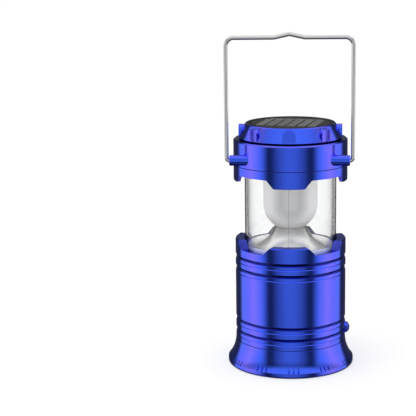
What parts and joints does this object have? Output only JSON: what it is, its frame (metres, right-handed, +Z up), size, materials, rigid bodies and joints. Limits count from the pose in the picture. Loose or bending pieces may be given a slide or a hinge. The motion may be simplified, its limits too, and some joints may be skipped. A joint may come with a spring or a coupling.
{
  "type": "solar lantern",
  "caption": "Collapsible solar camping lantern: a clear globe head with a solar cap slides into a grooved metal body with a flared torch foot, under a swinging wire bail.",
  "frame": {"origin": "centre of the foot's bottom face, on the lantern's axis", "axes": "+Z up along the lantern's axis, -Y to the front (the bail's side), +X to the button side"},
  "size_m": [0.0882, 0.0882, 0.234],
  "materials": {
    "blue_metallic": "metallised, blue lacquer",
    "blue_button": "metallised blue",
    "black_plastic": "fine grain",
    "white_plastic": "satin white",
    "grey_plastic": "satin grey",
    "clear_plastic": "clear moulded",
    "lens_plastic": "clear polished",
    "frosted_plastic": "frosted",
    "mirror_coating": "vacuum-metallised",
    "steel_wire": "nickel-plated, drawn",
    "screw_steel": "zinc-plated",
    "spring_steel": "plain",
    "contact_metal": "tin-plated",
    "board_green": "solder resist",
    "board_white": "white solder resist",
    "led_resin": "clear resin",
    "cell_sleeve": "shrink sleeve",
    "component_black": "moulded",
    "copper_coil": "enamelled winding",
    "silicon": "polycrystalline silicon",
    "bus_silver": "tinned ribbon",
    "gasket_rubber": "soft"
  },
  "bodies": {
    "base": {"foot_ring": "blue_metallic", "lens_ring": "black_plastic", "torch_lens": "lens_plastic", "lens_gasket": "gasket_rubber", "torch_reflector": "mirror_coating", "torch_board": "board_white", "torch_led": "led_resin", "chassis_plate": "black_plastic", "chassis_screws": "screw_steel", "battery_tray": "black_plastic", "battery_cell_1": "cell_sleeve", "battery_cell_2": "cell_sleeve", "battery_contacts": "contact_metal", "circuit_board": "board_green", "charge_chip": "component_black", "power_inductor": "copper_coil", "filter_capacitor": "component_black", "button_switch": "component_black", "button_spring": "spring_steel", "charge_socket": "black_plastic", "socket_pin": "contact_metal", "deck_plate": "grey_plastic", "deck_screws": "screw_steel", "guide_sleeve": "grey_plastic", "body_shell": "blue_metallic"},
    "button": {"power_button": "blue_button"},
    "head": {"globe_base": "grey_plastic", "slide_ring": "gasket_rubber", "globe": "clear_plastic", "light_reflector": "mirror_coating", "bulb_diffuser": "frosted_plastic", "ceiling_plate": "white_plastic", "led_board": "board_white", "cap_skirt": "blue_metallic", "cap_band": "blue_metallic", "cap_crown": "blue_metallic", "crown_screws": "screw_steel", "solar_panel": "black_plastic", "solar_bus_bar": "bus_silver", "solar_cover": "lens_plastic", "led_1": "led_resin", "solar_cell_1": "silicon", "led_2": "led_resin", "solar_cell_2": "silicon", "led_3": "led_resin", "solar_cell_3": "silicon", "led_4": "led_resin", "solar_cell_4": "silicon", "led_5": "led_resin", "solar_cell_5": "silicon", "led_6": "led_resin", "solar_cell_6": "silicon"},
    "bail": {"bail_wire": "steel_wire"}
  },
  "joints": [
    {"name": "head_slide", "type": "slide", "parent": "base", "child": "head", "axis": [0, 0, 1], "range_m": [-0.0405, 0]},
    {"name": "bail_swing", "type": "hinge", "parent": "head", "child": "bail", "pos_m": [0, -0.0245, 0.148], "axis": [1, 0, 0], "range_deg": [-125, 166]},
    {"name": "button_press", "type": "slide", "parent": "base", "child": "button", "axis": [-1, 0, 0], "range_m": [0, 0.0009], "stiffness_N_per_m": 600, "deforming": ["button_spring"]}
  ]
}
